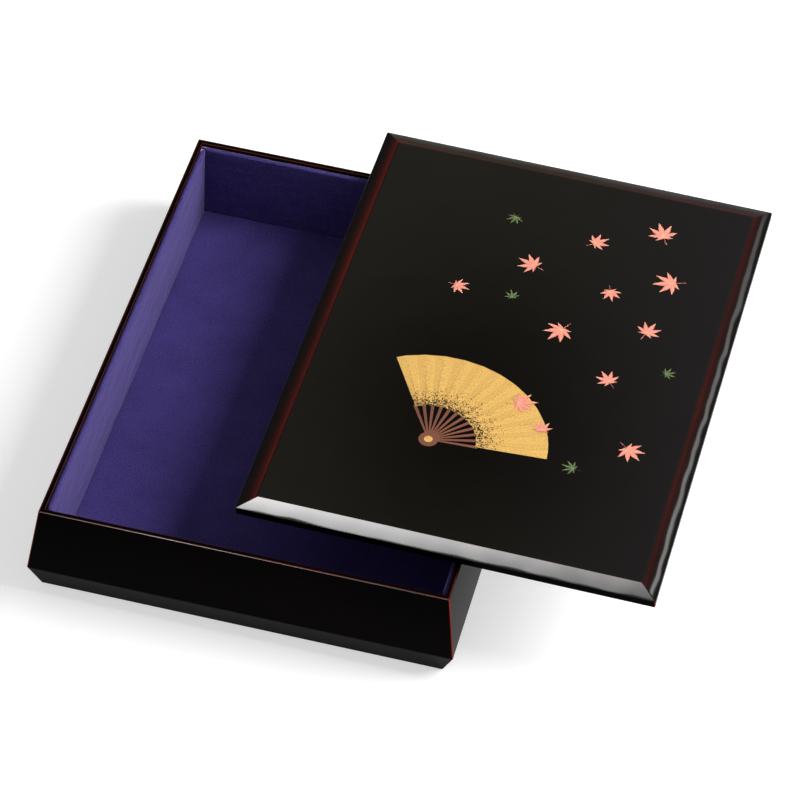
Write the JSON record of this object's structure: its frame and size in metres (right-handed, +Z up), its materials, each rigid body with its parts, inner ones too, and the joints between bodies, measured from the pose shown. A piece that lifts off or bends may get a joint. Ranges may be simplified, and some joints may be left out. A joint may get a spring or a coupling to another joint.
{
  "type": "lacquer document box",
  "caption": "Low flared lacquer document box with a cloth lining and a loose bevelled lid laid askew across its rims.",
  "frame": {"origin": "centre of the foot's flat underside", "axes": "+Z up, +X to the right along the front, +Y from the front to the back"},
  "size_m": [0.3564, 0.3622, 0.0702],
  "materials": {
    "case_lacquer": "gloss black-brown lacquer over wood",
    "lid_lacquer": "gloss black-brown lacquer over wood, red-brown at the thin edges",
    "lining_card": "matt pressed card",
    "lining_cloth": "blue-violet napped cloth"
  },
  "bodies": {
    "case": {"front_wall": "case_lacquer", "right_wall": "case_lacquer", "back_wall": "case_lacquer", "left_wall": "case_lacquer", "bottom_board": "case_lacquer", "lining_card_front": "lining_card", "lining_card_right": "lining_card", "lining_card_back": "lining_card", "lining_card_left": "lining_card", "lining_card_floor": "lining_card", "lining_cloth_front": "lining_cloth", "lining_cloth_right": "lining_cloth", "lining_cloth_back": "lining_cloth", "lining_cloth_left": "lining_cloth", "lining_cloth_floor": "lining_cloth"},
    "lid": {"lid_board": "lid_lacquer", "lid_inner_board": "lid_lacquer"}
  },
  "joints": [
    {"name": "lid_lift", "type": "slide", "parent": "case", "child": "lid", "axis": [0, 0, 1], "range_m": [0, 0.12]}
  ]
}
